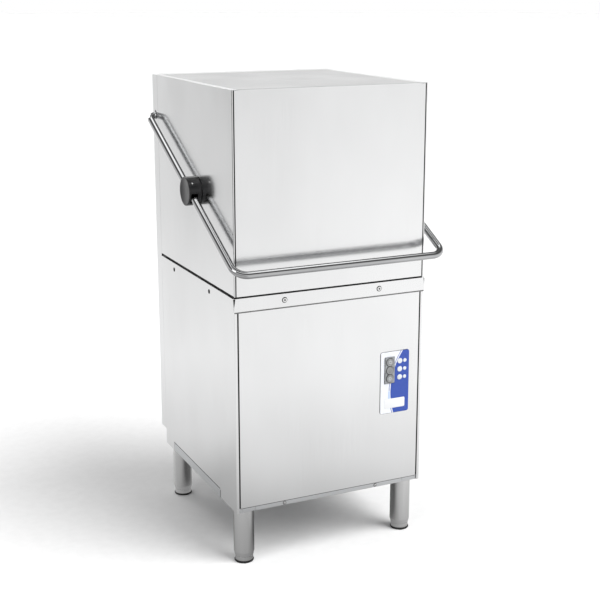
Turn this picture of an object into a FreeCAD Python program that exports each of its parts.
import FreeCAD
import Part

import math
import os

import Sketcher

# Hood-type pass-through washer for glasses and dishes in 500 mm racks.
#
# The row frame: +X to the machine's right, +Y to its back, +Z up, in millimetres, with the origin on the
# floor below the middle of the machine's box. The front faces -Y.
#
# Every length is a cell of the sheet. In this file a cell is a Size, which carries both the number and the
# sheet expression, so that (width / 2 - sheet) is one formula for Python and for the document.

DIMENSIONS = {
    # the whole machine
    "width": 630.0,             # across hood and cabinet
    "front_face": -300.5,       # Y of the hood's front face, which centres the box over the origin
    "hood_depth": 644.0,        # front face to the rear column
    "column_depth": 46.0,       # rear column behind the hood
    "top": 1440.0,              # top of the closed hood and of the column
    "under": 176.0,             # underside of the cabinet above the floor
    "sheet": 1.5,               # stainless sheet
    "panel_gap": 0.5,           # gap between panels that move past each other
    # cabinet
    "collar_low": 804.0,
    "collar_top": 844.0,
    "collar_proud": 4.0,        # how far the collar stands out from the panels
    "collar_lip": 18.0,         # width of the collar's top flange inside the panels
    "return_wide": 8.5,         # front return of a side panel
    "slot_wide": 4.5,           # shadow gap beside the front panel
    "fold_deep": 16.0,          # depth of a panel's folded edge
    "rail_high": 15.0,          # base rail below the front panel
    "notch_high": 30.0,         # notch along the bottom of a side panel
    "notch_front": 133.0,
    "notch_rear": 565.0,
    "column_low": 228.0,        # underside of the rear column
    "cover_back": 1.5,          # how far the column's cover is set in
    "connection_up": 205.0,     # height of the water and cable connections
    "valve_across": -200.0,
    "drain_across": 205.0,
    # legs and feet
    "leg_in": 41.0,             # leg centre from the side
    "leg_front": 47.0,
    "leg_rear": 600.0,
    "leg_radius": 31.5,
    "leg_wall": 1.5,
    "leg_neck": 28.6,           # radius of a leg's lower end
    "neck_top": 33.0,           # height at which a leg starts to narrow
    "nut_low": 60.0,            # nut plate inside a leg
    "foot_high": 20.0,
    "foot_radius": 27.8,
    "pad_radius": 29.8,
    "stem_radius": 10.0,
    # hood
    "hood_gap": 4.0,            # the hood's edge above the collar
    "hem_wide": 4.0,            # rounded front edge of a hood side
    "hem_slot": 3.5,            # shadow gap between hood side and hood front
    "fold_over": 20.0,          # strip of the hood side folded over the top
    "rim": 20.0,                # angle section that stiffens the hood's lower edge
    # lift handle
    "tube_radius": 11.0,
    "tube_wall": 1.5,
    "tube_off": 24.0,           # tube centre line outside the hood's sides
    "pivot_up": 1309.0,
    "handle_slope": 26.96,      # degrees below the horizontal with the hood closed
    "arm_length": 835.8,        # pivot line to the grip bar's centre line
    "front_bend": 40.0,
    "rear_bend": 33.0,
    "knob_radius": 44.0,
    "knob_deep": 40.0,
    "knob_back": 288.0,         # knob centre behind the hood's face
    "knob_up": 1116.2,
    "knob_play": 6.5,           # room for the tube in the knob's slot, each way
    "pin_radius": 10.0,
    # control plate, on the front panel
    "plate_left": 169.0,
    "plate_wide": 100.0,
    "plate_low": 418.0,
    "plate_high": 200.0,
    "plate_thick": 2.5,
    "button_radius": 12.0,
    "button_pitch": 26.3,
    # wash chamber
    "middle": 336.0,            # wash arm axis behind the hood's face
    "tank_half": 264.0,
    "tank_floor": 520.0,
    "pan_wide": 536.0,
    "wall_back": 628.0,         # chamber back wall behind the hood's face
    "wall_top": 1421.0,
    "post_radius": 25.0,
    "riser_radius": 12.0,
    "spindle": 9.0,             # radius of the wash arm spindles
    "running": 0.06,            # radial clearance of a turning fit
    "arm_reach": 230.0,
    "pump_across": -11.0,       # puts the pump's outlet below the post
    "pump_back": 372.0,
    "pump_up": 300.0,
    "impeller_radius": 45.0,
    "boiler_radius": 92.0,
}

TUBE_FIT = 0.08
PART_NAMES = []

doc = FreeCAD.newDocument("hood_washer")
sheet_object = doc.addObject("Spreadsheet::Sheet", "Dims")
for row, (alias, number) in enumerate(DIMENSIONS.items(), start=1):
    sheet_object.set(f"A{row}", alias)
    sheet_object.set(f"B{row}", str(number))
    sheet_object.setAlias(f"B{row}", alias)
doc.recompute()


class Size:
    """A length with its number and the sheet expression that gives it."""

    def __init__(self, value, text):
        self.value = value
        self.text = text

    def __add__(self, other):
        other = size(other)
        return Size(self.value + other.value, f"({self.text} + {other.text})")

    def __sub__(self, other):
        other = size(other)
        return Size(self.value - other.value, f"({self.text} - {other.text})")

    def __mul__(self, factor):
        return Size(self.value * factor, f"({self.text} * {factor})")

    def __truediv__(self, divisor):
        return Size(self.value / divisor, f"({self.text} / {divisor})")

    def __neg__(self):
        return self * -1

    __radd__ = __add__
    __rmul__ = __mul__

    def __rsub__(self, other):
        return size(other) - self


def size(length):
    """Take a plain number as a Size."""
    return length if isinstance(length, Size) else Size(float(length), f"({float(length)})")


class Cells:
    """The sheet's cells as attributes."""

    def __getattr__(self, alias):
        return Size(DIMENSIONS[alias], f"Dims.{alias}")


D = Cells()
HALF = D.width / 2
HOOD_LOW = D.collar_top + D.hood_gap
HOOD_BACK = D.hood_depth - D.panel_gap
PIVOT_BACK = D.hood_depth + D.column_depth / 2
SIDES = (("left", -1), ("right", 1))
AXES = {"x": (0, 1, 0, 90), "y": (1, 0, 0, -90), "z": (0, 0, 1, 0)}


# ---------------------------------------------------------------- building blocks

def place(item, across, back, up):
    """Bind a piece's position: across from the middle, back from the hood's face, up from the floor."""
    item.setExpression(".Placement.Base.x", size(across).text)
    item.setExpression(".Placement.Base.y", (size(back) + D.front_face).text)
    item.setExpression(".Placement.Base.z", size(up).text)


def block(name, across, back, up):
    """A rectangular block between a low and a high limit each way."""
    item = doc.addObject("Part::Box", name)
    limits = [(size(low), size(high)) for low, high in (across, back, up)]
    for side, (low, high) in zip(("Length", "Width", "Height"), limits):
        item.setExpression(side, (high - low).text)
    place(item, limits[0][0], limits[1][0], limits[2][0])
    return item


def side_limits(sign, inner, outer):
    """Limits across for a piece on the left (-1) or right (+1), from its distances off the middle."""
    return (size(inner), size(outer)) if sign > 0 else (-size(outer), -size(inner))


def rod(name, axis, start, radius, length):
    """A round bar from its start point, along +X, +Y or +Z."""
    item = doc.addObject("Part::Cylinder", name)
    turn_x, turn_y, turn_z, angle = AXES[axis]
    item.Placement = FreeCAD.Placement(
        FreeCAD.Vector(), FreeCAD.Rotation(FreeCAD.Vector(turn_x, turn_y, turn_z), angle))
    item.setExpression("Radius", size(radius).text)
    item.setExpression("Height", size(length).text)
    place(item, *start)
    return item


def ring(name, axis, start, radius, hole, length):
    """A round bar with a bore right through."""
    return carve(name, rod(name + "_bar", axis, start, radius, length),
                 rod(name + "_bore", axis, start, hole, length))


def join(name, *pieces):
    """Weld pieces into one solid."""
    item = doc.addObject("Part::MultiFuse", name)
    item.Shapes = list(pieces)
    item.Refine = True
    return item


def bunch(name, *pieces):
    """Keep like pieces together as separate solids."""
    item = doc.addObject("Part::Compound", name)
    item.Links = list(pieces)
    return item


def carve(name, piece, *tools):
    """Cut tools out of a piece."""
    item = doc.addObject("Part::Cut", name)
    item.Base = piece
    item.Tool = tools[0] if len(tools) == 1 else join(name + "_tools", *tools)
    item.Refine = True
    return item


def part(node, item):
    """Name a finished sub-part: its label is its file's name."""
    item.Label = node
    PART_NAMES.append(item.Name)
    return item


def new_body(name, across=0, back=0, up=0):
    """A PartDesign body whose own origin lies at a place on the machine."""
    body = doc.addObject("PartDesign::Body", name)
    place(body, across, back, up)
    return body


def sketch_in(body, role, name, lift=0):
    """A sketch on one of the body's own origin planes, lifted off it along the plane's normal."""
    sketch = body.newObject("Sketcher::SketchObject", name)
    plane = next(item for item in body.Origin.OriginFeatures if item.Role == role)
    sketch.AttachmentSupport = [(plane, "")]
    sketch.MapMode = "FlatFace"
    sketch.setExpression("AttachmentOffset.Base.z", size(lift).text)
    return sketch


def pin_point(sketch, edge, end, u, v):
    """Fix a sketch point at (u, v), each bound to the sheet."""
    for kind, length in (("DistanceX", size(u)), ("DistanceY", size(v))):
        index = sketch.addConstraint(Sketcher.Constraint(kind, -1, 1, edge, end, length.value))
        sketch.setExpression(f"Constraints[{index}]", length.text)


def outline(sketch, corners):
    """A closed straight-sided outline with every corner pinned."""
    points = [FreeCAD.Vector(size(u).value, size(v).value, 0) for u, v in corners]
    first = sketch.GeometryCount
    count = len(corners)
    for number, point in enumerate(points):
        sketch.addGeometry(Part.LineSegment(point, points[(number + 1) % count]))
    for number, (u, v) in enumerate(corners):
        edge = first + number
        sketch.addConstraint(Sketcher.Constraint("Coincident", edge, 2, first + (number + 1) % count, 1))
        pin_point(sketch, edge, 1, u, v)


def circle(sketch, u, v, radius):
    """A circle pinned at its centre, with its radius bound."""
    centre = FreeCAD.Vector(size(u).value, size(v).value, 0)
    edge = sketch.addGeometry(Part.Circle(centre, FreeCAD.Vector(0, 0, 1), size(radius).value))
    pin_point(sketch, edge, 3, u, v)
    index = sketch.addConstraint(Sketcher.Constraint("Radius", edge, size(radius).value))
    sketch.setExpression(f"Constraints[{index}]", size(radius).text)


def feature(body, kind, name, sketch, length=None, reverse=False, midplane=False):
    """A Pad or Pocket of a sketch; with no length a Pocket goes right through, both ways."""
    item = body.newObject("PartDesign::" + kind, name)
    item.Profile = sketch
    item.Reversed = reverse
    if midplane:
        item.SideType = "Symmetric"
    if length is None:
        item.Type = "ThroughAll"
        item.SideType = "Symmetric"
    else:
        item.setExpression("Length", size(length).text)
    return item


def turned(name, profile, role, axis_name, place_at):
    """A body turned about an axis of its sketch, from (radius, along) corners."""
    body = new_body(name, *place_at)
    sketch = sketch_in(body, role, name + "_profile")
    outline(sketch, profile)
    item = body.newObject("PartDesign::Revolution", name + "_turned")
    item.Profile = sketch
    item.ReferenceAxis = (sketch, [axis_name])
    item.Angle = 360.0
    return body


def bent_path(points, bends):
    """Straight runs between points, each corner rounded to its own radius, as one wire."""
    corners = [FreeCAD.Vector(*point) for point in points]
    edges = []
    start = corners[0]
    for number, radius in enumerate(bends, start=1):
        corner = corners[number]
        back = (corners[number - 1] - corner).normalize()
        ahead = (corners[number + 1] - corner).normalize()
        half = back.getAngle(ahead) / 2
        reach = radius / math.tan(half)
        middle = (back + ahead).normalize() * (radius / math.sin(half) - radius)
        first, last = corner + back * reach, corner + ahead * reach
        edges.append(Part.LineSegment(start, first).toShape())
        edges.append(Part.Arc(first, corner + middle, last).toShape())
        start = last
    edges.append(Part.LineSegment(start, corners[-1]).toShape())
    return Part.Wire(edges)


def bent_tube(name, points, bends, radius, wall):
    """A hose or pipe: a round wall swept along a bent path, from points in the machine's own places."""
    placed = [(size(x).value, size(y).value + D.front_face.value, size(z).value) for x, y, z in points]
    path = bent_path(placed, [size(bend).value for bend in bends])
    first = path.Edges[0]
    start = first.valueAt(first.FirstParameter)
    tangent = first.tangentAt(first.FirstParameter)
    shells = []
    for width in (size(radius).value, size(radius).value - size(wall).value):
        section = Part.Wire(Part.makeCircle(width, start, tangent))
        shells.append(path.makePipeShell([section], True, False))
    item = doc.addObject("Part::Feature", name)
    item.Shape = shells[0].cut(shells[1])
    return item


# ---------------------------------------------------------------- cabinet

def rail_piece(name, corners):
    """A flat piece of the base rail, from (across, up) corners, in front of the pan."""
    body = new_body(name, 0, 3.5, D.under)
    sketch = sketch_in(body, "XZ_Plane", name + "_outline")
    outline(sketch, corners)
    feature(body, "Pad", name + "_pad", sketch, 2)
    return body


def base_frame():
    """The base pan: a floor sheet with a low lip, skirts in the side notches and the rail in front."""
    edge = HALF - D.return_wide - 1
    high = D.rail_high - 1
    pan = block("pan_block", (-edge, edge), (3.5, HOOD_BACK - 2), (D.under, D.under + high))
    hollow = block("pan_hollow", (-edge + 2, edge - 2), (5.5, HOOD_BACK - 4), (D.under + 2, D.under + 30))
    rear = block("pan_rear", (-edge + 40, edge - 40), (HOOD_BACK - 5, HOOD_BACK), (D.under + 9, D.under + 40))
    pieces = [carve("pan", pan, hollow, rear)]
    seam, end = 253, HALF - 16
    pieces.append(rail_piece("rail_middle", [(-seam + 4, 0), (seam - 4, 0), (seam, 4), (seam, high),
                                             (-seam, high), (-seam, 4)]))
    notch = (D.notch_front + 4, D.notch_rear - 1)
    for side, sign in SIDES:
        inner = (seam + 1) * sign
        corner = [(inner, 4), ((end - 5) * sign, 4), (end * sign, high), (inner, high)]
        pieces.append(rail_piece(f"rail_corner_{side}", corner))
        pieces.append(block(f"skirt_{side}", side_limits(sign, HALF - 2, HALF - 0.5), notch,
                            (D.under, D.under + D.notch_high - 2.5)))
        pieces.append(block(f"skirt_fold_{side}", side_limits(sign, edge - 6, HALF - 1), notch,
                            (D.under, D.under + 2)))
    part("base_frame", join("base_frame", *pieces))


def leg_tubes():
    """Four leg tubes, each narrowed to a neck, with a nut plate inside and a plate bolted to the pan."""
    outer, inner = D.leg_radius, D.leg_radius - D.leg_wall
    thread = D.stem_radius + D.running
    profile = [(D.leg_neck, D.foot_high), (outer, D.neck_top), (outer, D.under - 2), (inner, D.under - 2),
               (inner, D.nut_low + 6), (thread, D.nut_low + 6), (thread, D.nut_low), (inner, D.nut_low),
               (inner, D.neck_top + 0.5), (D.leg_neck - D.leg_wall, D.foot_high)]
    legs = []
    for side, sign in SIDES:
        for end, back in (("front", D.leg_front), ("rear", D.leg_rear)):
            name = f"leg_{end}_{side}"
            across = (HALF - D.leg_in) * sign
            tube = turned(name + "_tube", profile, "XZ_Plane", "V_Axis", (across, back, 0))
            plate = block(name + "_plate", (across - 33, across + 33), (back - 33, back + 33),
                          (D.under - 3, D.under))
            legs.append(join(name, tube, plate))
    part("leg_tubes", bunch("leg_tubes", *legs))


def feet():
    """Four screw feet: a pad, a round insert and a stem that screws into the leg."""
    pad, insert, top = D.pad_radius, D.foot_radius, D.foot_high - 0.6
    stem_top = D.nut_low + 53
    profile = [(0, 0), (pad - 1.5, 0), (pad, 1.5), (pad, 5), (insert, 5), (insert, top - 1),
               (insert - 1, top), (D.stem_radius, top), (D.stem_radius, stem_top), (0, stem_top)]
    for side, sign in SIDES:
        for end, back in (("front", D.leg_front), ("rear", D.leg_rear)):
            node = f"foot_{end}_{side}"
            spot = ((HALF - D.leg_in) * sign, back, 0)
            part(node, turned(node, profile, "XZ_Plane", "V_Axis", spot))


def side_panels():
    """Left and right cabinet sides: folded at the front and back, notched along the bottom."""
    for side, sign in SIDES:
        node = f"side_panel_{side}"
        body = new_body(node, 0, 0, D.under)
        outer, inner = HALF, HALF - D.sheet
        fold = HALF - D.return_wide
        corners = [(outer, 0), (outer, HOOD_BACK), (outer - 20, HOOD_BACK),
                   (outer - 20, HOOD_BACK - D.sheet), (inner, HOOD_BACK - D.sheet), (inner, D.sheet),
                   (fold + D.sheet, D.sheet), (fold + D.sheet, D.fold_deep), (fold, D.fold_deep), (fold, 0)]
        sketch = sketch_in(body, "XY_Plane", node + "_section")
        outline(sketch, [(u * sign if isinstance(u, Size) else u, v) for u, v in corners])
        feature(body, "Pad", node + "_pad", sketch, D.collar_low - D.under - D.panel_gap)
        notch = sketch_in(body, "YZ_Plane", node + "_notch_outline")
        outline(notch, [(D.notch_front, -1), (D.notch_rear, -1), (D.notch_rear, D.notch_high),
                        (D.notch_front + 5, D.notch_high), (D.notch_front, D.notch_high - 5)])
        feature(body, "Pocket", node + "_notch", notch)
        part(node, body)


def front_panel():
    """The lift-off front panel: a tray with a window behind the control plate."""
    edge = HALF - D.return_wide - D.slot_wide
    lip = HALF - D.return_wide - D.panel_gap
    low = D.under + D.rail_high
    body = new_body("front_panel", 0, 0, low)
    web, deep = D.sheet, D.fold_deep
    half_section = [(edge, 0), (edge, deep - D.sheet), (lip, deep - D.sheet), (lip, deep),
                    (edge - D.sheet, deep), (edge - D.sheet, web)]
    mirrored = [(u * -1, v) for u, v in reversed(half_section)]
    sketch = sketch_in(body, "XY_Plane", "front_section")
    outline(sketch, half_section + mirrored)
    feature(body, "Pad", "front_pad", sketch, D.collar_low - low - D.panel_gap)
    window = sketch_in(body, "XZ_Plane", "front_window_outline")
    left, floor = D.plate_left, D.plate_low - low
    outline(window, [(left + 8, floor + 8), (left + D.plate_wide - 8, floor + 8),
                     (left + D.plate_wide - 8, floor + D.plate_high - 8),
                     (left + 8, floor + D.plate_high - 8)])
    feature(body, "Pocket", "front_window", window)
    part("front_panel", body)


def back_panel():
    """The cabinet's rear sheet, with the holes for water in, drain and mains cable."""
    panel = block("back_sheet", (-HALF + 21, HALF - 21), (HOOD_BACK - D.sheet, HOOD_BACK),
                  (D.under + 10.5, D.collar_top - 4))
    start = HOOD_BACK - 5
    holes = [rod("back_hole_valve", "y", (D.valve_across, start, D.connection_up), 17, 10),
             rod("back_hole_drain", "y", (D.drain_across, start, D.connection_up), 15.4, 10),
             rod("back_hole_gland", "y", (0, start, D.connection_up), 10.4, 10)]
    part("back_panel", carve("back_panel", panel, *holes))


def column():
    """The rear column: an open folded ring that carries the handle's shaft, and its screwed-on cover."""
    front, back = D.hood_depth, D.hood_depth + D.column_depth
    outer = block("column_outer", (-HALF, HALF), (front, back), (D.column_low, D.top))
    inner = block("column_inner", (-HALF + D.sheet, HALF - D.sheet), (front - 1, back + 1),
                  (D.column_low + D.sheet, D.top - D.sheet))
    holes = [rod(f"column_hole_{side}", "x", ((HALF + 5) * sign - 10, PIVOT_BACK, D.pivot_up), 14.5, 20)
             for side, sign in SIDES]
    flanges = [block(f"column_flange_{side}", side_limits(sign, HALF - 25, HALF - 1),
                     (front, front + D.sheet), (D.column_low + 1, D.top - 1)) for side, sign in SIDES]
    part("column_shell", join("column_shell", carve("column_ring", outer, inner, *holes), *flanges))
    face = back - D.cover_back
    cover = block("cover_sheet", (-HALF + 2.5, HALF - 2.5), (face - D.sheet, face),
                  (D.column_low + 2.5, D.top - 2.5))
    vents = [block(f"cover_vent_{side}_{row}", side_limits(sign, 40, 110), (face - 3, face + 1),
                   (D.column_low + 45 + 14 * row, D.column_low + 50 + 14 * row))
             for side, sign in SIDES for row in range(6)]
    part("column_cover", carve("column_cover", cover, *vents))


def collar_band():
    """The proud band around the cabinet's rim, three-sided, open and tapering at its front corners."""
    proud = HALF + D.collar_proud
    top, low = D.collar_top, D.collar_low
    front = -D.collar_proud
    pieces = [block("collar_web", (-proud, proud), (front, front + D.sheet), (low, top)),
              block("collar_lip_front", (-proud, proud), (front, D.collar_lip), (top - D.sheet, top)),
              block("collar_foot", (-proud, proud), (front, -0.2), (low, low + D.sheet))]
    for side, sign in SIDES:
        pieces.append(block(f"collar_web_{side}", side_limits(sign, proud - D.sheet, proud),
                            (front, HOOD_BACK), (low, top)))
        pieces.append(block(f"collar_lip_{side}", side_limits(sign, HALF - D.collar_lip, proud),
                            (front, HOOD_BACK), (top - D.sheet, top)))
        pieces.append(block(f"collar_foot_{side}", side_limits(sign, HALF + 0.2, proud),
                            (front, HOOD_BACK), (low, low + D.sheet)))
    tools = []
    for side, sign in SIDES:
        notch = doc.addObject("Part::Cone", f"collar_notch_{side}")
        notch.Radius1 = 0.3
        notch.Radius2 = 6.0
        notch.setExpression("Height", (top - low + 0.2).text)
        place(notch, proud * sign, front, low)
        tools.append(notch)
        for number, back in enumerate((192, 508)):
            tools.append(rod(f"collar_hole_{side}_{number}", "x",
                             ((HALF - 5) * sign - 10, back, low + 20), 3.2, 30))
    part("collar_band", carve("collar_band", join("collar_strips", *pieces), *tools))


def panel_screws():
    """Screw heads: two on the collar, two on the base rail and ten in the column's cover."""
    quarter = D.width / 4
    cover_face = D.hood_depth + D.column_depth - D.cover_back
    pitch = (D.top - D.column_low - 60) / 4
    heads = []
    for side, sign in SIDES:
        heads.append(rod(f"screw_collar_{side}", "y",
                         (quarter * sign, -D.collar_proud - 1.6, D.collar_low + 21), 4.2, 1.6))
        heads.append(rod(f"screw_rail_{side}", "y", (quarter * sign, 0, D.under + 7), 3.6, 1.5))
        for row in range(5):
            spot = ((HALF - 16) * sign, cover_face, D.column_low + 30 + pitch * row)
            heads.append(rod(f"screw_cover_{side}_{row}", "y", spot, 5, D.cover_back - 0.1))
    part("panel_screws", bunch("panel_screws", *heads))


# ---------------------------------------------------------------- wash chamber

def wash_tank():
    """The tank, welded from flat sheets: a floor with a sump at its left, four walls and two filter ledges."""
    half, floor, rim = D.tank_half, D.tank_floor, D.collar_top - D.sheet
    front, back = D.middle - half, D.middle + half
    low = floor + D.sheet
    sheet = block("tank_floor_sheet", (-half, half), (front, back), (floor, low))
    sump = block("tank_sump", (-205, -95), (D.pump_back - 55, D.pump_back + 55), (floor - 40, floor + 1))
    sump_hollow = block("tank_sump_hollow", (-203.5, -96.5), (D.pump_back - 53.5, D.pump_back + 53.5),
                        (floor - 38.5, floor + 2))
    spigot = rod("tank_spigot", "z", (-150, D.pump_back, floor - 75), 27, 36)
    outlet = rod("tank_outlet", "z", (-150, D.pump_back, floor - 76), 24, 40)
    post_hole = rod("tank_post_hole", "z", (0, D.middle, floor - 5), D.post_radius + 0.2, 10)
    drain_hole = rod("tank_drain_hole", "z", (D.drain_across, D.middle + 205, floor - 5), 12.4, 10)
    bottom = carve("tank_bottom", join("tank_bottom_mass", sheet, sump, spigot), sump_hollow, outlet,
                   post_hole, drain_hole)
    front_wall = carve("tank_wall_front",
                       block("tank_front_sheet", (-half, half), (front, front + D.sheet), (low, rim)),
                       rod("tank_element_hole", "y", (-120, front - 5, floor + 45), 24, 12))
    back_wall = block("tank_wall_back", (-half, half), (back - D.sheet, back), (low, rim))
    sheets = [bottom, front_wall, back_wall]
    for side, sign in SIDES:
        between = (front + D.sheet, back - D.sheet)
        for name, inner, outer, up in (("wall", half - D.sheet, half, (low, rim)),
                                       ("ledge", half - 12, half - D.sheet, (728, 730))):
            sheets.append(block(f"tank_{name}_{side}", side_limits(sign, inner, outer), between, up))
    part("wash_tank", bunch("wash_tank", *sheets))


def tank_rim():
    """The wide flat rim welded around the tub's mouth, which drains spray back into the tank."""
    half, rim = D.tank_half, D.collar_top - D.sheet
    front, back = D.middle - half, D.middle + half
    deck = block("rim_deck", (-HALF + 2, HALF - 2), (0.5, HOOD_BACK - 2), (rim - D.sheet, rim))
    mouth = block("rim_mouth", (-half, half), (front, back), (rim - 5, rim + 5))
    riser_hole = rod("rim_riser_hole", "z", (0, back + 14, rim - 5), D.riser_radius + 1.5, 10)
    part("tank_rim", carve("tank_rim", deck, mouth, riser_hole))


def chamber_back_wall():
    """The fixed rear sheet of the wash chamber, folded back to the column at both sides."""
    body = new_body("chamber_back_wall", 0, 0, D.collar_top - 1)
    wide, web = D.width / 2 - 25, D.wall_back
    corners = [(wide, web), (wide, D.hood_depth - 0.2), (wide - D.sheet, D.hood_depth - 0.2),
               (wide - D.sheet, web + D.sheet)]
    sketch = sketch_in(body, "XY_Plane", "back_wall_section")
    outline(sketch, corners + [(u * -1, v) for u, v in reversed(corners)])
    feature(body, "Pad", "back_wall_pad", sketch, D.wall_top - D.collar_top + 1)
    part("chamber_back_wall", body)


def guide_rails():
    """Two upright rails beside the back wall, each with the groove in which the hood's shoes slide."""
    rails = []
    for side, sign in SIDES:
        inner, outer = HALF - 25, HALF - 12
        bar = block(f"rail_bar_{side}", side_limits(sign, inner, outer), (600, 640),
                    (D.collar_top + 0.5, D.wall_top - 3))
        groove = block(f"rail_groove_{side}", side_limits(sign, outer - 8, outer + 1), (614, 626),
                       (D.collar_top, D.wall_top))
        rails.append(carve(f"rail_{side}", bar, groove))
    part("guide_rails", bunch("guide_rails", *rails))


def rack_rails():
    """Two angle rails across the tank that the rack slides along, with a raised outer edge."""
    rails = []
    for name, outer, inner in (("front", D.middle - 254, D.middle - 226),
                               ("rear", D.middle + 254, D.middle + 226)):
        low, high = (outer, inner) if name == "front" else (inner, outer)
        edge = (outer, outer + 3) if name == "front" else (outer - 3, outer)
        floor = block(f"rack_floor_{name}", (-288, 288), (low, high), (D.collar_top - 1.5, D.collar_top + 8))
        hollow = block(f"rack_hollow_{name}", (-289, 289), (low + 3, high - 3),
                       (D.collar_top - 2, D.collar_top + 5))
        fence = block(f"rack_fence_{name}", (-288, 288), edge, (D.collar_top, D.collar_top + 22))
        rails.append(join(f"rack_rail_{name}", carve(f"rack_channel_{name}", floor, hollow), fence))
    part("rack_rails", bunch("rack_rails", *rails))


def tank_filters():
    """Two lift-out filter pans over the tank, cut away around the lower post and the overflow pipe."""
    pans = []
    half = D.tank_half - 3
    front, back = D.middle - half, D.middle + half
    room = D.post_radius + 3
    for side, sign in SIDES:
        pan = block(f"filter_pan_{side}", side_limits(sign, 1, half), (front, back), (730.3, 748))
        hollow = block(f"filter_hollow_{side}", side_limits(sign, 2.2, half - 1.2),
                       (front + 1.2, back - 1.2), (731.5, 749))
        tools = [hollow, block(f"filter_post_{side}", side_limits(sign, -1, room),
                               (D.middle - room, D.middle + room), (725, 755))]
        if sign > 0:
            tools.append(block("filter_overflow", (D.drain_across - 24, half + 1),
                               (D.middle + 181, back + 1), (725, 755)))
        pans.append(carve(f"filter_{side}", pan, *tools))
    part("tank_filters", bunch("tank_filters", *pans))


def overflow_pipe():
    """The standpipe that sets the water level and plugs the tank's drain; it lifts out."""
    spot = (D.drain_across, D.middle + 205, 0)
    floor = D.tank_floor + D.sheet
    profile = [(10, floor - 9), (12.3, floor - 9), (12.3, floor + 0.4), (19, floor + 0.4), (19, floor + 5),
               (12.5, floor + 5), (12.5, 786), (17, 786), (17, 800), (10, 800)]
    part("overflow_pipe", turned("overflow_pipe", profile, "XZ_Plane", "V_Axis", spot))


def lower_arm_post():
    """The upright that feeds and carries the lower wash arm and rinse arm, with its cap nut."""
    spot = (0, D.middle, 0)
    r, s = D.post_radius, D.spindle
    profile = [(0, 770), (r - 2, 770), (r - 2, 475), (17, 475), (17, 452), (20, 452), (20, 472), (r, 472),
               (r, 784), (s, 784), (s, 832), (13, 832), (13, 839), (0, 839)]
    body = turned("lower_arm_post", profile, "XZ_Plane", "V_Axis", spot)
    branch = sketch_in(body, "XZ_Plane", "post_branch")
    circle(branch, 0, 503, D.riser_radius - 1.5)
    hole = feature(body, "Pocket", "post_branch_hole", branch, 40, reverse=False)
    hole.Reversed = True
    part("lower_arm_post", body)


def wash_riser():
    """The pipe from the lower post, up behind the tank and forward over the rack, ending in a spindle."""
    rear = D.middle + D.tank_half + 14
    over = D.wall_top - 17
    points = [(0, D.middle + D.post_radius + 0.05, 503), (0, rear, 503), (0, rear, over), (0, D.middle, over)]
    pipe = bent_tube("riser_pipe", points, (16, 26), D.riser_radius, 1.5)
    hub = rod("riser_hub", "z", (0, D.middle, over - 14), 21, 28)
    spindle = rod("riser_spindle", "z", (0, D.middle, over - 70), D.spindle, 60)
    nut = rod("riser_nut", "z", (0, D.middle, over - 76), 13, 7)
    part("wash_riser", join("wash_riser", pipe, hub, spindle, nut))


def spray_arm(node, up, tall, wide, reach, hub_radius, hub_tall, jets, jet_radius, jet_side):
    """A spinning spray arm: a flat hollow-looking bar, a hub with a running bore and a row of jets."""
    body = new_body(node, 0, D.middle, up)
    bar = sketch_in(body, "XY_Plane", node + "_plan")
    half = size(wide) / 2
    tip = size(wide) / 4
    outline(bar, [(-reach, -tip), (-reach + 14, -half), (reach - 14, -half), (reach, -tip),
                  (reach, tip), (reach - 14, half), (-reach + 14, half), (-reach, tip)])
    feature(body, "Pad", node + "_bar", bar, tall)
    hub = sketch_in(body, "XY_Plane", node + "_hub_plan", (size(tall) - hub_tall) / 2)
    circle(hub, 0, 0, hub_radius)
    feature(body, "Pad", node + "_hub", hub, hub_tall)
    bore = sketch_in(body, "XY_Plane", node + "_bore_plan")
    circle(bore, 0, 0, D.spindle + D.running)
    feature(body, "Pocket", node + "_bore", bore)
    holes = sketch_in(body, "XY_Plane", node + "_jet_plan", tall if jet_side > 0 else 0)
    inner = size(hub_radius) + 16
    pitch = (size(reach) - 22 - inner) / (jets - 1)
    for number in range(jets):
        across = inner + pitch * number
        circle(holes, across, half / 4, jet_radius)
        circle(holes, -across, -half / 4, jet_radius)
    feature(body, "Pocket", node + "_jets", holes, size(tall) / 3, reverse=jet_side < 0)
    part(node, body)


def spray_arms():
    """Wash and rinse arms below the rack and above it."""
    over = D.wall_top - 17
    reach = D.arm_reach
    spray_arm("lower_wash_arm", 790, 14, 40, reach, 28, 24, 6, 3.2, 1)
    spray_arm("lower_rinse_arm", 818, 9, 15, reach - 6, 16, 13, 5, 1.4, 1)
    spray_arm("upper_wash_arm", over - 38, 14, 40, reach, 28, 22, 6, 3.2, -1)
    spray_arm("upper_rinse_arm", over - 62, 9, 15, reach - 6, 16, 13, 5, 1.4, -1)


# ---------------------------------------------------------------- inside the cabinet

def pump_housing():
    """The wash pump's housing: inlet spigot, round chamber, shaft hole and an outlet pointing up."""
    spot = (D.pump_across, D.pump_back, D.pump_up)
    shaft = 8 + D.running
    profile = [(-60, 24), (-8, 24), (-8, 52), (30, 52), (30, shaft), (40, shaft), (40, 75), (-20, 75),
               (-20, 27), (-60, 27)]
    body = turned("pump_housing", profile, "XZ_Plane", "H_Axis", spot)
    offset = D.middle - D.pump_back
    collar = sketch_in(body, "XY_Plane", "pump_outlet_plan", 60)
    circle(collar, -D.pump_across, offset, 20)
    feature(body, "Pad", "pump_outlet", collar, 32)
    bore = sketch_in(body, "XY_Plane", "pump_outlet_bore_plan", 0)
    circle(bore, -D.pump_across, offset, 17)
    feature(body, "Pocket", "pump_outlet_bore", bore, 100, reverse=True)
    part("pump_housing", body)


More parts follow.
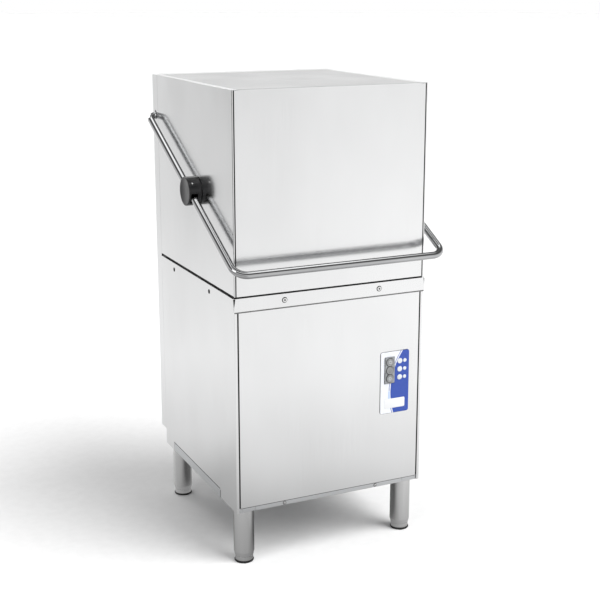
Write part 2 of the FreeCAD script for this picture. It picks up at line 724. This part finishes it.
def pump_impeller():
    """The impeller: a back disc, six vanes and the shaft that runs into the motor."""
    body = new_body("pump_impeller", D.pump_across, D.pump_back, D.pump_up)
    disc = sketch_in(body, "YZ_Plane", "impeller_disc_plan", 22)
    circle(disc, 0, 0, D.impeller_radius)
    feature(body, "Pad", "impeller_disc", disc, 4)
    vane = sketch_in(body, "YZ_Plane", "impeller_vane_plan", -2)
    outline(vane, [(14, -2), (D.impeller_radius - 3, -2), (D.impeller_radius - 3, 2), (14, 2)])
    blade = feature(body, "Pad", "impeller_vane", vane, 25)
    doc.recompute()
    pattern = body.newObject("PartDesign::PolarPattern", "impeller_vanes")
    pattern.Originals = [blade]
    axis = next(item for item in body.Origin.OriginFeatures if item.Role == "X_Axis")
    pattern.Axis = (axis, [""])
    pattern.Angle = 360.0
    pattern.Occurrences = 6
    body.Tip = pattern
    shaft = sketch_in(body, "YZ_Plane", "impeller_shaft_plan", 0)
    circle(shaft, 0, 0, 8)
    feature(body, "Pad", "impeller_shaft", shaft, 75)
    part("pump_impeller", body)


def pump_motor():
    """The pump's motor: a ribbed barrel with a foot and a terminal box."""
    start = D.pump_across + 41
    barrel = rod("motor_barrel", "x", (start, D.pump_back, D.pump_up), 60, 190)
    fins = [rod(f"motor_fin_{number}", "x", (start + 20 + number * 18, D.pump_back, D.pump_up), 64, 6)
            for number in range(8)]
    foot = block("motor_foot", (start + 30, start + 160), (D.pump_back - 45, D.pump_back + 45),
                 (D.under + 2.3, 250))
    box = block("motor_box", (start + 50, start + 120), (D.pump_back - 35, D.pump_back + 35), (350, 384))
    bore = rod("motor_bore", "x", (start - 1, D.pump_back, D.pump_up), 8 + D.running, 40)
    part("pump_motor", carve("pump_motor", join("motor_mass", barrel, foot, box, *fins), bore))


def pump_hoses():
    """The suction hose from the sump to the pump and the delivery hose up to the lower post."""
    suction = bent_tube("suction_hose", [(D.pump_across - 36, D.pump_back, D.pump_up),
                                         (-150, D.pump_back, D.pump_up), (-150, D.pump_back, 476)],
                        (68,), 30.5, 3.3)
    delivery = ring("delivery_hose", "z", (0, D.middle, 378), 23.5, 20.2, 90)
    part("pump_hoses", bunch("pump_hoses", suction, delivery))


def drain_pipe():
    """The drain from under the overflow pipe down and out at the back, ending in a hose spigot."""
    back = D.middle + 205
    points = [(D.drain_across, back, D.tank_floor - 0.2), (D.drain_across, back, D.connection_up),
              (D.drain_across, D.hood_depth + 40, D.connection_up)]
    pipe = bent_tube("drain_run", points, (45,), 15, 2)
    bead = ring("drain_bead", "y", (D.drain_across, D.hood_depth + 6, D.connection_up), 18, 14, 4)
    part("drain_pipe", join("drain_pipe", pipe, bead))


def boiler():
    """The rinse boiler: a lagged drum on two saddles, open at the front for the heating element."""
    spot = (-205, 62, D.pump_up + 5)
    r = D.boiler_radius
    profile = [(30, 0), (r - 10, 0), (r, 10), (r, 262), (r - 10, 272), (0, 272), (0, 269), (r - 11, 269),
               (r - 3, 261), (r - 3, 11), (r - 11, 3), (30, 3)]
    drum = turned("boiler_drum", [(radius, along) for radius, along in profile], "XY_Plane", "V_Axis", spot)
    saddles = [carve(f"boiler_saddle_{number}",
                     block(f"boiler_foot_{number}", (-265, -145), (100 + 150 * number, 130 + 150 * number),
                           (D.under + 2.3, 240)),
                     rod(f"boiler_seat_{number}", "y", (-205, 90 + 150 * number, D.pump_up + 5), r - 0.5, 60))
               for number in range(2)]
    part("boiler", join("boiler", drum, *saddles))


def heater(name, across, back, up, length, flange):
    """A flanged heating element: a terminal flange and a hairpin loop."""
    spread = 15
    flange_disc = rod(name + "_flange", "y", (across, back - 6, up), flange, 6)
    terminals = [rod(f"{name}_terminal_{sign}", "y", (across + spread * sign, back - 18, up), 4, 13)
                 for sign in (-1, 1)]
    legs = [rod(f"{name}_leg_{sign}", "y", (across + spread * sign, back - 1, up), 4, length)
            for sign in (-1, 1)]
    turn = doc.addObject("Part::Torus", name + "_turn")
    turn.setExpression("Radius1", size(spread).text)
    turn.Radius2 = 4.0
    turn.Angle3 = 180.0
    place(turn, across, size(back) + length - 1, up)
    return join(name, flange_disc, turn, *terminals, *legs)


def heating_elements():
    """The boiler's element and the tank's element."""
    boiler_element = heater("boiler_element", -205, 61.8, D.pump_up + 5, 200, 36)
    tank_element = heater("tank_element", -120, D.middle - D.tank_half - 0.2, D.tank_floor + 45, 280, 30)
    part("heating_elements", bunch("heating_elements", boiler_element, tank_element))


def inlet_valve():
    """The water inlet valve: a body with a coil on top and a three-quarter inch thread through the back."""
    across, up = D.valve_across, D.connection_up
    body = block("valve_body", (across - 20, across + 20), (575, 625), (up - 18, up + 20))
    coil = block("valve_coil", (across - 16, across + 16), (582, 618), (up + 19, up + 62))
    collar = rod("valve_collar", "y", (across, 624, up), 16.5, HOOD_BACK + 1.5 - 624)
    thread = rod("valve_thread", "y", (across, 640, up), 13.22, D.hood_depth + 20 - 640)
    bore = rod("valve_bore", "y", (across, 610, up), 9, 60)
    part("inlet_valve", carve("inlet_valve", join("valve_mass", body, coil, collar, thread), bore))


def cable_gland():
    """The mains cable's gland: a hexagon nut outside, a hexagon inside and a bore right through."""
    up = D.connection_up
    barrel = rod("gland_barrel", "y", (0, 628, up), 10, 40)
    nuts = []
    for name, back, long in (("inner", 633, 7), ("outer", HOOD_BACK + 0.2, 8)):
        nut = doc.addObject("Part::Prism", f"gland_nut_{name}")
        nut.Polygon = 6
        nut.Circumradius = 15.0
        nut.Placement = FreeCAD.Placement(FreeCAD.Vector(), FreeCAD.Rotation(FreeCAD.Vector(1, 0, 0), -90))
        nut.setExpression("Height", size(long).text)
        place(nut, 0, back, up)
        nuts.append(nut)
    dome = rod("gland_dome", "y", (0, HOOD_BACK + 8, up), 12.5, 20)
    bore = rod("gland_bore", "y", (0, 620, up), 6.5, 70)
    part("cable_gland", carve("cable_gland", join("gland_mass", barrel, dome, *nuts), bore))


def dosing_pump():
    """The rinse-aid pump: a small gear motor with a round hose head."""
    motor = block("dosing_motor", (-285, -215), (455, 505), (D.under + 2.3, 250))
    head = rod("dosing_head", "y", (-250, 425, 216), 26, 31)
    stubs = [rod(f"dosing_stub_{sign}", "z", (-250 + 12 * sign, 440, 235), 4, 26) for sign in (-1, 1)]
    part("dosing_pump", join("dosing_pump", motor, head, *stubs))


def electrics():
    """The open-fronted electrics box and the control board with its relays."""
    across, back, up = (120, 290), (95, 205), (200, 400)
    outer = block("electrics_outer", across, back, up)
    inner = block("electrics_inner", (122, 288), (94, 203), (202, 398))
    feet_blocks = [block(f"electrics_foot_{number}", (130 + 125 * number, 155 + 125 * number), (110, 190),
                         (D.under + 2.3, 201)) for number in range(2)]
    part("electrics_box", join("electrics_box", carve("electrics_tray", outer, inner), *feet_blocks))
    board = block("board_sheet", (132, 278), (190, 192), (215, 385))
    studs = [block(f"board_stud_{across}_{up}", (across, across + 8), (191, 202.8), (up, up + 8))
             for across in (140, 262) for up in (222, 372)]
    relays = [block(f"board_relay_{number}", (142 + 32 * number, 166 + 32 * number), (168, 190.5), (330, 372))
              for number in range(4)]
    terminals = block("board_terminals", (140, 270), (170, 190.5), (222, 244))
    part("control_board", join("control_board", board, terminals, *studs, *relays))


def hood_switch():
    """The switch that the left shoe presses when the hood is shut."""
    rest = D.collar_top
    body = block("switch_body", (-HALF + 2.5, -HALF + 11), (606, 634), (rest + 0.2, rest + 18))
    lever = block("switch_lever", (-HALF + 4, -HALF + 9), (610, 630), (rest + 17, rest + 22))
    part("hood_switch", join("hood_switch", body, lever))


# ---------------------------------------------------------------- control plate

BUTTON_ROW = D.plate_low + D.plate_high - 33
BUTTONS = ("power_button", "start_button", "drain_button")
BUTTON_ACROSS = D.plate_left + 31


def rounded(body, item, names, radius):
    """Round the upright edges that run along the body's Y axis."""
    doc.recompute()
    edges = [f"Edge{number}" for number, edge in enumerate(item.Shape.Edges, start=1)
             if len(edge.Vertexes) == 2
             and abs(edge.Vertexes[0].Point.x - edge.Vertexes[1].Point.x) < 0.01
             and abs(edge.Vertexes[0].Point.z - edge.Vertexes[1].Point.z) < 0.01]
    fillet = body.newObject("PartDesign::Fillet", names)
    fillet.Base = (item, edges)
    fillet.Radius = radius
    return fillet


def control_plate():
    """The control plate: a thin rounded plate with a window for the button block."""
    body = new_body("control_plate", D.plate_left, -0.1, D.plate_low)
    sketch = sketch_in(body, "XZ_Plane", "plate_outline")
    wide, high = D.plate_wide, D.plate_high
    outline(sketch, [(0, 0), (wide, 0), (wide, high), (0, high)])
    pad = feature(body, "Pad", "plate_pad", sketch, D.plate_thick)
    rounded(body, pad, "plate_corners", 6.0)
    window = sketch_in(body, "XZ_Plane", "plate_window_outline")
    outline(window, [(13.8, high - 101.2), (48.2, high - 101.2), (48.2, high - 16.8), (13.8, high - 16.8)])
    feature(body, "Pocket", "plate_window", window)
    part("control_plate", body)


def button_block():
    """The block that holds the three push buttons, set in the plate's window."""
    body = new_body("button_block", D.plate_left, 32, D.plate_low)
    high = D.plate_high
    sketch = sketch_in(body, "XZ_Plane", "block_outline")
    outline(sketch, [(14.1, high - 100.9), (47.9, high - 100.9), (47.9, high - 17.1), (14.1, high - 17.1)])
    pad = feature(body, "Pad", "block_pad", sketch, 32 + D.plate_thick + 2.5)
    rounded(body, pad, "block_corners", 3.0)
    for number in range(3):
        row = high - 33 - D.button_pitch * number
        wells = sketch_in(body, "XZ_Plane", f"block_well_outline_{number}", 32 + D.plate_thick + 2.5)
        circle(wells, 31, row, D.button_radius + 0.4)
        feature(body, "Pocket", f"block_well_{number}", wells, 22)
        stems = sketch_in(body, "XZ_Plane", f"block_stem_outline_{number}")
        circle(stems, 31, row, 5.1)
        feature(body, "Pocket", f"block_stem_{number}", stems)
    part("button_block", body)


def buttons():
    """Three push buttons: a dished cap and a stem, each on its own travel."""
    face = D.plate_thick + 5
    r = D.button_radius
    profile = [(0, 30), (5, 30), (5, 8), (r, 8), (r, 1 - face), (r - 1, -face), (r - 3.5, -face),
               (r - 4.5, 0.6 - face), (0, 0.6 - face)]
    for number, node in enumerate(BUTTONS):
        spot = (BUTTON_ACROSS, 0, BUTTON_ROW - D.button_pitch * number)
        part(node, turned(node, profile, "XY_Plane", "V_Axis", spot))


def lamp_lenses():
    """Indicator lenses on the plate: three large and three small."""
    lenses = []
    for number in range(3):
        row = BUTTON_ROW - D.button_pitch * number
        for name, across, radius in (("large", 67, 8.5), ("small", 84.5, 5.8)):
            lenses.append(rod(f"lens_{name}_{number}", "y",
                              (D.plate_left + across, -D.plate_thick - 1.3, row), radius, 1.1))
    part("lamp_lenses", bunch("lamp_lenses", *lenses))


# ---------------------------------------------------------------- hood

def hood_sides():
    """Left and right hood panels: hemmed at the front, folded over at the top, bored for the knob's pin."""
    for side, sign in SIDES:
        node = f"hood_{side}_panel"
        body = new_body(node, 0, 0, HOOD_LOW)
        outer, inner = HALF, HALF - D.sheet
        hem = HALF - D.hem_wide
        corners = [(outer, 1.2), (outer, HOOD_BACK), (HALF - 9, HOOD_BACK), (HALF - 9, HOOD_BACK - D.sheet),
                   (inner, HOOD_BACK - D.sheet), (inner, D.sheet), (hem + D.sheet, D.sheet),
                   (hem + D.sheet, 14), (hem, 14), (hem, 0), (outer - 1.2, 0)]
        sketch = sketch_in(body, "XY_Plane", node + "_section")
        outline(sketch, [(u * sign, v) for u, v in corners])
        high = D.top - HOOD_LOW
        feature(body, "Pad", node + "_pad", sketch, high)
        fold = sketch_in(body, "XY_Plane", node + "_fold_plan", high - D.sheet)
        fold_edge = HALF - D.fold_over
        outline(fold, [(outer * sign, 1.2), (outer * sign, HOOD_BACK), (fold_edge * sign, HOOD_BACK),
                       (fold_edge * sign, 0), ((outer - 1.2) * sign, 0)])
        feature(body, "Pad", node + "_fold", fold, D.sheet)
        bore = sketch_in(body, "YZ_Plane", node + "_pin_outline")
        circle(bore, D.knob_back, D.knob_up - HOOD_LOW, D.pin_radius + 0.2)
        feature(body, "Pocket", node + "_pin_hole", bore)
        part(node, body)


def hood_front():
    """The hood's front panel, its side folds closing the shadow gaps from inside."""
    edge = HALF - D.hem_wide - D.hem_slot
    body = new_body("hood_front_panel", 0, 0, HOOD_LOW)
    lip = HALF - D.sheet - 0.3
    corners = [(edge, 0), (edge, 14.4), (lip, 14.4), (lip, 15.9), (edge - D.sheet, 15.9),
               (edge - D.sheet, D.sheet)]
    sketch = sketch_in(body, "XY_Plane", "hood_front_section")
    outline(sketch, corners + [(u * -1, v) for u, v in reversed(corners)])
    feature(body, "Pad", "hood_front_pad", sketch, D.top - D.sheet - 0.3 - HOOD_LOW)
    cap = sketch_in(body, "XY_Plane", "hood_front_top", D.top - D.sheet - 0.3 - HOOD_LOW)
    inset = HALF - D.fold_over - 1
    outline(cap, [(-inset, 0), (inset, 0), (inset, D.sheet), (-inset, D.sheet)])
    feature(body, "Pad", "hood_front_edge", cap, D.sheet + 0.3)
    part("hood_front_panel", body)


def hood_top():
    """The hood's top sheet between the side folds, with a lip down at the back."""
    wide = HALF - D.fold_over - 1
    sheet = block("hood_top_sheet", (-wide, wide), (D.sheet + 0.6, HOOD_BACK), (D.top - D.sheet, D.top))
    lip = block("hood_top_lip", (-wide, wide), (HOOD_BACK - D.sheet, HOOD_BACK), (D.top - 16, D.top))
    ribs = [block(f"hood_top_rib_{side}", side_limits(sign, wide - D.sheet, wide), (20, HOOD_BACK),
                  (D.top - 14, D.top)) for side, sign in SIDES]
    part("hood_top_panel", join("hood_top_panel", sheet, lip, *ribs))


def hood_rim():
    """The angle frame inside the hood's lower edge, and the seal under it, both open at the back."""
    inner = HALF - D.sheet - 0.3
    rim = D.rim
    front = 16.2
    legs = [block("rim_front_web", (-inner, inner), (front, front + 2), (HOOD_LOW + 1, HOOD_LOW + rim)),
            block("rim_front_shelf", (-inner, inner), (front, front + rim), (HOOD_LOW + 1, HOOD_LOW + 3))]
    for side, sign in SIDES:
        legs.append(block(f"rim_web_{side}", side_limits(sign, inner - 2, inner), (front, 590),
                          (HOOD_LOW + 1, HOOD_LOW + rim)))
        legs.append(block(f"rim_shelf_{side}", side_limits(sign, inner - rim, inner), (front, 590),
                          (HOOD_LOW + 1, HOOD_LOW + 3)))
    part("hood_rim_frame", join("hood_rim_frame", *legs))
    edge = HALF - 3
    low, high = D.collar_top + 0.4, HOOD_LOW - 0.1
    strips = [block("seal_front", (-edge, edge), (3, 14), (low, high))]
    for side, sign in SIDES:
        strips.append(block(f"seal_{side}", side_limits(sign, edge - 11, edge), (3, 598), (low, high)))
    part("hood_seal", join("hood_seal", *strips))


def guide_shoes():
    """Plastic shoes on the hood's sides: a tongue in the rail's groove and a block against the panel."""
    shoes = []
    for side, sign in SIDES:
        outer = HALF - D.sheet - 0.1
        base = block(f"shoe_base_{side}", side_limits(sign, HALF - 11.7, outer), (602, 638), (868, 1008))
        tongue = block(f"shoe_tongue_{side}", side_limits(sign, HALF - 19.6, HALF - 11), (614.3, 625.7),
                       (868, 1008))
        shoes.append(join(f"shoe_{side}", base, tongue))
    part("guide_shoes", bunch("guide_shoes", *shoes))


def knob_pins():
    """The pins that the knobs turn on: a flange inside the hood and a shank through its side."""
    pins = []
    for side, sign in SIDES:
        pieces = []
        inside = HALF - D.sheet
        for name, inner, long, radius in (("head", inside - 4.1, 4.0, 18),
                                          ("shank", inside - 1, 13, D.pin_radius)):
            start = side_limits(sign, inner, inner + long)[0]
            pieces.append(rod(f"pin_{name}_{side}", "x", (start, D.knob_back, D.knob_up), radius, long))
        pins.append(join(f"pin_{side}", *pieces))
    part("knob_pins", bunch("knob_pins", *pins))


# ---------------------------------------------------------------- lift handle

def tilt(body, angle):
    """Turn a body about the machine's X axis by a bound angle, nose down."""
    body.Placement = FreeCAD.Placement(body.Placement.Base, FreeCAD.Rotation(FreeCAD.Vector(1, 0, 0), 10))
    body.setExpression(".Placement.Rotation.Angle", angle.text)


def handle_tube():
    """The wrap-around tube: grip bar, two arms and two ends turned in along the pivot line."""
    body = new_body("handle_tube", 0, PIVOT_BACK, D.pivot_up)
    tilt(body, D.handle_slope)
    arm = HALF + D.tube_off
    end = HALF - 55
    path = body.newObject("Sketcher::SketchObject", "handle_path")
    plane = next(item for item in body.Origin.OriginFeatures if item.Role == "XY_Plane")
    path.AttachmentSupport = [(plane, "")]
    path.MapMode = "FlatFace"
    draw_handle_path(path, arm, end)
    ends = sketch_in(body, "YZ_Plane", "handle_section", -end)
    circle(ends, 0, 0, D.tube_radius)
    circle(ends, 0, 0, D.tube_radius - D.tube_wall)
    pipe = body.newObject("PartDesign::AdditivePipe", "handle_pipe")
    pipe.Profile = ends
    pipe.Spine = (path, [f"Edge{number + 1}" for number in range(path.GeometryCount)])
    pipe.Mode = "Standard"
    part("handle_tube", body)


def draw_handle_path(path, arm, end):
    """The tube's centre line, flat in its own plane: in along X, round the rear bend, down the arm."""
    rear, front, length = D.rear_bend, D.front_bend, D.arm_length
    points = [(-end, 0), (-arm + rear, 0), (-arm, -rear), (-arm, -length + front), (-arm + front, -length),
              (arm - front, -length), (arm, -length + front), (arm, -rear), (arm - rear, 0), (end, 0)]
    centres = {1: (-arm + rear, -rear), 3: (-arm + front, -length + front),
               5: (arm - front, -length + front), 7: (arm - rear, -rear)}
    vectors = [FreeCAD.Vector(size(u).value, size(v).value, 0) for u, v in points]
    for number in range(len(points) - 1):
        first, last = vectors[number], vectors[number + 1]
        if number in centres:
            centre = FreeCAD.Vector(*(size(value).value for value in centres[number]), 0)
            outward = ((first + last) * 0.5 - centre).normalize() * (first - centre).Length
            path.addGeometry(Part.Arc(first, centre + outward, last))
        else:
            path.addGeometry(Part.LineSegment(first, last))
    for number in centres:
        before, after = arc_ends(path, number, vectors[number])
        path.addConstraint(Sketcher.Constraint("Coincident", number - 1, 2, number, before))
        path.addConstraint(Sketcher.Constraint("Coincident", number, after, number + 1, 1))
        index = path.addConstraint(Sketcher.Constraint("DistanceX", -1, 1, number, 3,
                                                       size(centres[number][0]).value))
        path.setExpression(f"Constraints[{index}]", size(centres[number][0]).text)
    for number in range(0, len(points) - 1, 2):
        pin_point(path, number, 1, *points[number])
        pin_point(path, number, 2, *points[number + 1])


def arc_ends(path, number, start):
    """Which vertex of an arc comes first along the path, and which comes last."""
    forward = (path.Geometry[number].StartPoint - start).Length < 0.01
    return (1, 2) if forward else (2, 1)


def pivot_shaft():
    """The shaft between the tube's ends, with the collars that wind the springs."""
    reach = HALF - 30
    shaft = rod("shaft_bar", "x", (-reach, PIVOT_BACK, D.pivot_up), D.tube_radius - D.tube_wall + 0.02,
                reach * 2)
    collars = [rod(f"shaft_collar_{side}", "x", ((110 * sign) - 12, PIVOT_BACK, D.pivot_up), 17, 24)
               for side, sign in SIDES]
    part("pivot_shaft", join("pivot_shaft", shaft, *collars))


def pivot_brackets():
    """Two bearing brackets on the column's flanges, each with a bore for the tube and a spring stop."""
    brackets = []
    for side, sign in SIDES:
        plate = block(f"bracket_block_{side}", side_limits(sign, 264, 286), (646, 685.5),
                      (D.pivot_up - 26, D.pivot_up + 26))
        foot = block(f"bracket_foot_{side}", side_limits(sign, 264, 313), (646, 650),
                     (D.pivot_up - 26, D.pivot_up - 14))
        bore = rod(f"bracket_bore_{side}", "x", ((275 * sign) - 30, PIVOT_BACK, D.pivot_up),
                   D.tube_radius + TUBE_FIT, 60)
        brackets.append(carve(f"bracket_{side}", join(f"bracket_mass_{side}", plate, foot), bore))
    part("pivot_brackets", bunch("pivot_brackets", *brackets))


def torsion_springs():
    """Two torsion springs around the shaft that take most of the hood's weight."""
    springs = []
    for side, sign in SIDES:
        body = new_body(f"spring_{side}", 126 * sign if sign > 0 else -246, PIVOT_BACK, D.pivot_up)
        sketch = sketch_in(body, "XZ_Plane", f"spring_wire_{side}")
        circle(sketch, 4, 14.6, 3)
        helix = body.newObject("PartDesign::AdditiveHelix", f"spring_coil_{side}")
        helix.Profile = sketch
        helix.ReferenceAxis = (sketch, ["H_Axis"])
        helix.Mode = 0
        helix.Pitch = 7.4
        helix.Height = 112.0
        helix.LeftHanded = sign < 0
        springs.append(body)
    part("torsion_springs", bunch("torsion_springs", *springs))


def knobs():
    """The two knobs that join the handle's arms to the hood: the tube slides in a slot through each."""
    r, deep = D.knob_radius, D.knob_deep
    bore, bore_deep = D.pin_radius + D.running, 12
    for side, sign in SIDES:
        node = f"knob_{side}"
        body = new_body(node, (HALF + 0.6) * sign, D.knob_back, D.knob_up)
        tilt(body, D.handle_slope)
        sketch = sketch_in(body, "XY_Plane", node + "_profile")
        corners = [(0, bore), (0, r - 2), (4, r), (deep - 6, r), (deep, r - 6), (deep, 0), (bore_deep, 0),
                   (bore_deep, bore)]
        outline(sketch, [(size(u) * sign, v) for u, v in corners])
        turn = body.newObject("PartDesign::Revolution", node + "_turned")
        turn.Profile = sketch
        turn.ReferenceAxis = (sketch, ["H_Axis"])
        turn.Angle = 360.0
        slot = sketch_in(body, "XZ_Plane", node + "_slot_outline")
        middle = (D.tube_off - 0.6) * sign
        wide, tall = D.tube_radius + 0.3, D.tube_radius + D.knob_play
        outline(slot, [(middle - wide, -tall), (middle + wide, -tall), (middle + wide, tall),
                       (middle - wide, tall)])
        feature(body, "Pocket", node + "_slot", slot)
        part(node, body)


def build():
    """Make every sub-part."""
    base_frame()
    leg_tubes()
    feet()
    side_panels()
    front_panel()
    back_panel()
    column()
    collar_band()
    panel_screws()
    wash_tank()
    tank_rim()
    chamber_back_wall()
    guide_rails()
    rack_rails()
    tank_filters()
    overflow_pipe()
    lower_arm_post()
    wash_riser()
    spray_arms()
    pump_housing()
    pump_impeller()
    pump_motor()
    pump_hoses()
    drain_pipe()
    boiler()
    heating_elements()
    inlet_valve()
    cable_gland()
    dosing_pump()
    electrics()
    hood_switch()
    control_plate()
    button_block()
    buttons()
    lamp_lenses()
    hood_sides()
    hood_front()
    hood_top()
    hood_rim()
    guide_shoes()
    knob_pins()
    handle_tube()
    pivot_shaft()
    pivot_brackets()
    torsion_springs()
    knobs()


def write_parts():
    """Check every object and every sub-part, then write one file for each."""
    failed = [item.Name for item in doc.Objects
              if any(state in ("Invalid", "Error") for state in item.State)]
    if failed:
        raise RuntimeError(f"objects that failed: {failed}")
    os.makedirs("parts", exist_ok=True)
    whole = FreeCAD.BoundBox()
    for name in PART_NAMES:
        item = doc.getObject(name)
        shape = item.Shape
        if shape.isNull() or not shape.isValid() or not shape.Solids:
            raise RuntimeError(f"{item.Label} has no valid solid")
        whole.add(shape.BoundBox)
        shape.exportStep(os.path.join("parts", item.Label + ".step"))
        print(f"{item.Label}: {len(shape.Solids)} solids, {shape.Volume / 1000:.1f} cm3")
    print(f"{len(PART_NAMES)} sub-parts in a box of {whole.XLength:.1f} x {whole.YLength:.1f} x "
          f"{whole.ZLength:.1f} mm, from ({whole.XMin:.1f}, {whole.YMin:.1f}, {whole.ZMin:.1f})")


build()
doc.recompute()
write_parts()
